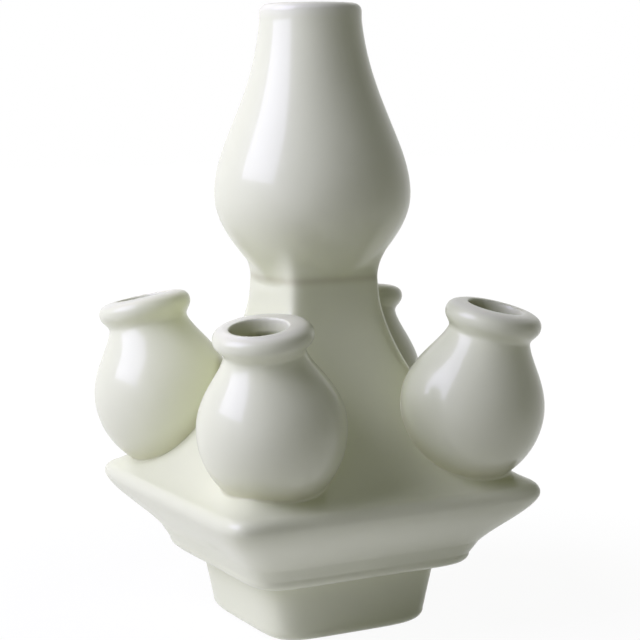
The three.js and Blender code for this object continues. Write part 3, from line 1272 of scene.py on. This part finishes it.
SPOUTS = (
    Spout("spout_front_left", corner=225, turn=2.4, swing=-8, lean=-0.6, reach=-2.5, rise=-0.7,
          fillet=2.4, slimmer=0.9, mouth_shift=2.8),
    Spout("spout_front_right", corner=315, turn=-0.9, swing=-2.5, lean=2.6, reach=1.5, rise=0.9,
          fillet=3.0),
    Spout("spout_rear_right", corner=45, turn=0, swing=0, lean=-2, reach=-1, rise=0, fillet=2.4),
    Spout("spout_rear_left", corner=135, turn=1.4, swing=2, lean=0.8, reach=2, rise=1, fillet=1.6),
)


class Reading:
    """A value in a material's node tree, which Python's operators work on."""

    def __init__(self, tree: "Tree", socket: bpy.types.NodeSocket) -> None:
        """Wrap an output socket of a node tree."""
        self.tree = tree
        self.socket = socket

    def maths(self, operation: str, *values: "Reading | float") -> "Reading":
        """Add a Math node."""
        return self.tree.node("ShaderNodeMath", {"operation": operation}, dict(enumerate(values)))

    def __add__(self, other: "Reading | float") -> "Reading":
        """Add."""
        return self.maths("ADD", self, other)

    def __sub__(self, other: "Reading | float") -> "Reading":
        """Subtract."""
        return self.maths("SUBTRACT", self, other)

    def __rsub__(self, other: float) -> "Reading":
        """Subtract from a number."""
        return self.maths("SUBTRACT", other, self)

    def __mul__(self, other: "Reading | float") -> "Reading":
        """Multiply."""
        return self.maths("MULTIPLY", self, other)

    __radd__ = __add__
    __rmul__ = __mul__

    def clamped(self) -> "Reading":
        """Keep the value from 0 to 1."""
        return self.tree.node("ShaderNodeClamp", {}, {"Value": self})


class Tree:
    """A node tree that is written as Python expressions."""

    def __init__(self, nodes: bpy.types.NodeTree) -> None:
        """Take over the tree of a material or the world, and empty it."""
        self.nodes = nodes
        self.nodes.nodes.clear()

    @classmethod
    def of_material(cls, name: str) -> tuple[bpy.types.Material, "Tree"]:
        """Make a material.

        Args:
            name: the material's name.

        Returns:
            The material and its empty tree.
        """
        made = bpy.data.materials.new(name)
        made.use_nodes = True
        return made, cls(made.node_tree)

    def node(self, kind: str, settings: dict[str, object], inputs: dict[int | str, object],
             output: int | str = 0) -> Reading:
        """Add a node.

        Args:
            kind: the node's type.
            settings: its properties, which are set first.
            inputs: the values or readings of its sockets, by name or number.
            output: the output socket to read.

        Returns:
            The reading of that output.
        """
        made = self.nodes.nodes.new(kind)
        for name, value in settings.items():
            setattr(made, name, value)
        for name, value in inputs.items():
            if isinstance(value, Reading):
                self.nodes.links.new(value.socket, made.inputs[name])
            else:
                made.inputs[name].default_value = value
        return Reading(self, made.outputs[output])

    def spot(self) -> Reading:
        """The place on the vase, in the object's own coordinates."""
        return self.node("ShaderNodeTexCoord", {}, {}, "Object")

    def mixed(self, share: Reading, first: Reading | Colour, second: Reading | Colour) -> Reading:
        """Mix two colours by a share."""
        settings = {"data_type": "RGBA", "blend_type": "MIX"}
        return self.node("ShaderNodeMix", settings, {0: share, 6: first, 7: second}, 2)

    def finish(self, kind: str, surface: Reading) -> None:
        """Link a shader to the tree's output."""
        made = self.nodes.nodes.new(kind)
        self.nodes.links.new(surface.socket, made.inputs["Surface"])


@dataclass(frozen=True)
class Mottle:
    """A cloudy pattern through the vase, by how fine and how detailed it is."""

    scale: float
    detail: float

    def on(self, tree: Tree, spot: Reading) -> Reading:
        """The pattern's value at a place."""
        inputs = {"Vector": spot, "Scale": self.scale, "Detail": self.detail}
        return tree.node("ShaderNodeTexNoise", {}, inputs)


@dataclass(frozen=True)
class GlazeFinish:
    """A glossy pale grey-green glaze over white clay, bare where the foot stands; sizes in metres."""

    body: Colour = (0.778, 0.800, 0.574, 1)
    cooler: Colour = (0.762, 0.789, 0.566, 1)
    # Darker tone for pooled glaze and painted shade in creases and hollows
    pooled_shade_tone: Colour = (0.585, 0.585, 0.39, 1)
    thin: Colour = (0.84, 0.845, 0.69, 1)
    thin_share: float = 0.7
    clay: Colour = (0.70, 0.665, 0.585, 1)
    edge_sharpness: float = 2600.0
    edge_wander: float = 1.2
    edge_level: float = 1.6
    roughness: float = 0.34
    roughness_spread: float = 0.03
    clay_roughness: float = 0.72
    refraction: float = 1.5
    specular: float = 0.3
    coat: float = 0.38
    coat_roughness: float = 0.02
    peel_share: float = 0.06
    relief: float = 0.00012
    clouds: Mottle = Mottle(26.0, 3.0)
    ragged: Mottle = Mottle(160.0, 4.0)
    swirl: Mottle = Mottle(90.0, 2.0)
    ripple: Mottle = Mottle(70.0, 1.0)
    peel: Mottle = Mottle(520.0, 2.0)

    def tone(self, tree: Tree, spot: Reading, glazed: Reading) -> Reading:
        """Colour the glaze: cloudy, darker where it pools and where shade is painted in creases and
        hollows, paler on rims, and clay where it ends.

        Args:
            tree: the material's tree.
            spot: the place on the vase.
            glazed: 1 where there is glaze, and 0 on bare clay.

        Returns:
            The colour.
        """
        # Pooled glaze and painted shade, read from the mesh's attribute
        pool_and_shade = tree.node("ShaderNodeAttribute", {"attribute_name": POOL_SHADE_LAYER}, {}, "Fac")
        tone = tree.mixed(self.clouds.on(tree, spot), self.body, self.cooler)
        tone = tree.mixed(pool_and_shade.clamped(), tone, self.pooled_shade_tone)
        tone = tree.mixed((pool_and_shade * -1.0).clamped() * self.thin_share, tone, self.thin)
        return tree.mixed(glazed, self.clay, tone)

    def material(self) -> bpy.types.Material:
        """Make the glaze.

        Returns:
            The material.
        """
        made, tree = Tree.of_material(Slot.GLAZE.value)
        spot = tree.spot()
        height = tree.node("ShaderNodeSeparateXYZ", {}, {0: spot}, "Z")
        edge = height * self.edge_sharpness + self.ragged.on(tree, spot) * self.edge_wander
        glazed = (edge - self.edge_level).clamped()
        gloss = self.roughness + self.swirl.on(tree, spot) * self.roughness_spread
        relief = self.ripple.on(tree, spot) + self.peel.on(tree, spot) * self.peel_share
        bump = {"Strength": 1.0, "Distance": self.relief, "Height": relief}
        tree.finish("ShaderNodeOutputMaterial", tree.node("ShaderNodeBsdfPrincipled", {}, {
            "Base Color": self.tone(tree, spot, glazed),
            "Roughness": glazed * (gloss - self.clay_roughness) + self.clay_roughness,
            "Normal": tree.node("ShaderNodeBump", {}, bump),
            "IOR": self.refraction,
            "Specular IOR Level": self.specular,
            "Coat Weight": glazed * self.coat,
            "Coat Roughness": self.coat_roughness,
        }))
        return made


@dataclass(frozen=True)
class ClayFinish:
    """Matte unglazed clay with fine grit; sizes in metres."""

    body: Colour = (0.72, 0.68, 0.60, 1)
    grit_tone: Colour = (0.60, 0.55, 0.46, 1)
    grit_contrast: float = 1.6
    grit_level: float = 0.5
    roughness: float = 0.78
    roughness_spread: float = 0.1
    bump: float = 0.6
    relief: float = 0.0002
    grit: Mottle = Mottle(900.0, 6.0)
    clouds: Mottle = Mottle(40.0, 3.0)

    def material(self) -> bpy.types.Material:
        """Make the clay.

        Returns:
            The material.
        """
        made, tree = Tree.of_material(Slot.CLAY.value)
        spot = tree.spot()
        grit = self.grit.on(tree, spot)
        share = (grit * self.grit_contrast - self.grit_level).clamped()
        bump = {"Strength": self.bump, "Distance": self.relief, "Height": grit}
        tree.finish("ShaderNodeOutputMaterial", tree.node("ShaderNodeBsdfPrincipled", {}, {
            "Base Color": tree.mixed(share, self.body, self.grit_tone),
            "Roughness": self.clouds.on(tree, spot) * self.roughness_spread + self.roughness,
            "Normal": tree.node("ShaderNodeBump", {}, bump),
        }))
        return made


@dataclass(frozen=True)
class SoftLight:
    """A soft box that is aimed at the vase."""

    name: str
    place: tuple[float, float, float]
    target: tuple[float, float, float]
    width: float
    height: float
    power: float
    tone: tuple[float, float, float] = (1.01, 0.98, 1.36)

    def build(self) -> None:
        """Hang the light."""
        data = bpy.data.lights.new(self.name, "AREA")
        data.shape = "RECTANGLE"
        data.size = self.width
        data.size_y = self.height
        data.energy = self.power
        data.color = self.tone
        lamp = in_scene(self.name, data)
        lamp.location = self.place
        aim = Vector(self.target) - Vector(self.place)
        lamp.rotation_euler = aim.to_track_quat("-Z", "Y").to_euler()


@dataclass(frozen=True)
class Studio:
    """The pale floor, the soft light and the camera."""

    camera_place: tuple[float, float, float] = (-0.3247, -0.6201, 0.2068)
    camera_target: tuple[float, float, float] = (0.00216, -0.00113, 0.1173)
    focal_pixels: float = 1812.0
    frame_pixels: float = 640.0
    sensor: float = 36.0
    roll: float = -0.59
    floor_half: float = 4.0
    floor_drop: float = 0.0002
    floor_tone: Colour = (0.88, 0.88, 0.86, 1)
    floor_glow: float = 0.93
    glow_strength: float = 1.02
    shadow_reach: float = 0.12
    shadow_fade: float = 6.0
    sky_tone: Colour = (0.040, 0.044, 0.012, 1)
    white: Colour = (1, 1, 1, 1)
    lights: tuple[SoftLight, ...] = (
        SoftLight("left_box", (-0.830, 0.087, 0.800), (0, 0, 0.53), 0.81, 0.886, 11.2),
        SoftLight("front_panel", (-1.05, -0.55, 0.22), (0, 0, 0.08), 0.9, 0.6, 0.5),
        SoftLight("back_panel", (-0.30, 0.75, 1.15), (0, 0, 0.10), 1.0, 1.0, 2.8, (1.0, 0.92, 0.86)),
    )

    def build(self) -> None:
        """Set up everything round the vase."""
        self.floor()
        self.sky()
        for light in self.lights:
            light.build()
        self.camera()
        bpy.context.scene.view_settings.view_transform = "Standard"

    def floor(self) -> None:
        """Lay the floor, which the camera sees as white with the vase's shadow."""
        sheet = bmesh.new()
        bmesh.ops.create_grid(sheet, x_segments=1, y_segments=1, size=self.floor_half)
        bmesh.ops.translate(sheet, vec=(0, 0, -self.floor_drop), verts=sheet.verts)
        floor = as_object("floor", sheet)
        made, tree = Tree.of_material("floor_sweep")
        far = tree.node("ShaderNodeVectorMath", {"operation": "LENGTH"}, {0: tree.spot()}, "Value")
        fade = ((far - self.shadow_reach) * self.shadow_fade).clamped()
        plain = tree.node("ShaderNodeBsdfDiffuse", {}, {"Color": self.floor_tone})
        glow = tree.node("ShaderNodeEmission", {}, {"Strength": self.glow_strength})
        share = self.seen(tree) * (fade * (1 - self.floor_glow) + self.floor_glow)
        mix = tree.node("ShaderNodeMixShader", {}, {0: share, 1: plain, 2: glow})
        tree.finish("ShaderNodeOutputMaterial", mix)
        floor.data.materials.append(made)

    @staticmethod
    def seen(tree: Tree) -> Reading:
        """1 for rays that show the background, and 0 for those that light the vase."""
        camera, glossy, through = (tree.node("ShaderNodeLightPath", {}, {}, f"Is {kind} Ray")
                                   for kind in ("Camera", "Glossy", "Transmission"))
        return (camera + glossy + through).clamped()

    def sky(self) -> None:
        """Make the background white for what looks at it, and dim for what it lights."""
        world = bpy.data.worlds.new("studio")
        bpy.context.scene.world = world
        world.use_nodes = True
        tree = Tree(world.node_tree)
        dim, white = (tree.node("ShaderNodeBackground", {}, {"Color": tone, "Strength": 1.0})
                      for tone in (self.sky_tone, self.white))
        mix = tree.node("ShaderNodeMixShader", {}, {0: self.seen(tree), 1: dim, 2: white})
        tree.finish("ShaderNodeOutputWorld", mix)

    def camera(self) -> None:
        """Set the camera where the photograph was taken."""
        data = bpy.data.cameras.new("camera")
        data.sensor_width = self.sensor
        data.lens = self.focal_pixels / self.frame_pixels * self.sensor
        place = Vector(self.camera_place)
        ahead = (Vector(self.camera_target) - place).normalized()
        right = ahead.cross(Vector((0, 0, 1))).normalized()
        up = right.cross(ahead)
        turn = math.radians(self.roll)
        side = right * math.cos(turn) + up * math.sin(turn)
        top = up * math.cos(turn) - right * math.sin(turn)
        axes = Matrix((side, top, -ahead)).transposed().to_4x4()
        camera = in_scene("camera", data)
        camera.matrix_world = Matrix.Translation(place) @ axes
        bpy.context.scene.camera = camera


def main() -> None:
    """Build the sub-assemblies in order, dress their castings and set up the studio."""
    logging.basicConfig(level=logging.INFO, format="%(message)s")
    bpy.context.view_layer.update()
    noise.seed_set(HAND.seed)
    finishes = {Slot.GLAZE: GlazeFinish().material(), Slot.CLAY: ClayFinish().material()}
    for part in (FOOT, Cornice(), ROOF, NeckVase(), *SPOUTS):
        for node, piece in part.build().items():
            part.dress(piece, node, finishes)
            log.info("%s stands for %s with %d faces", piece.name, node, len(piece.data.polygons))
    Studio().build()


if __name__ == "__main__":
    main()
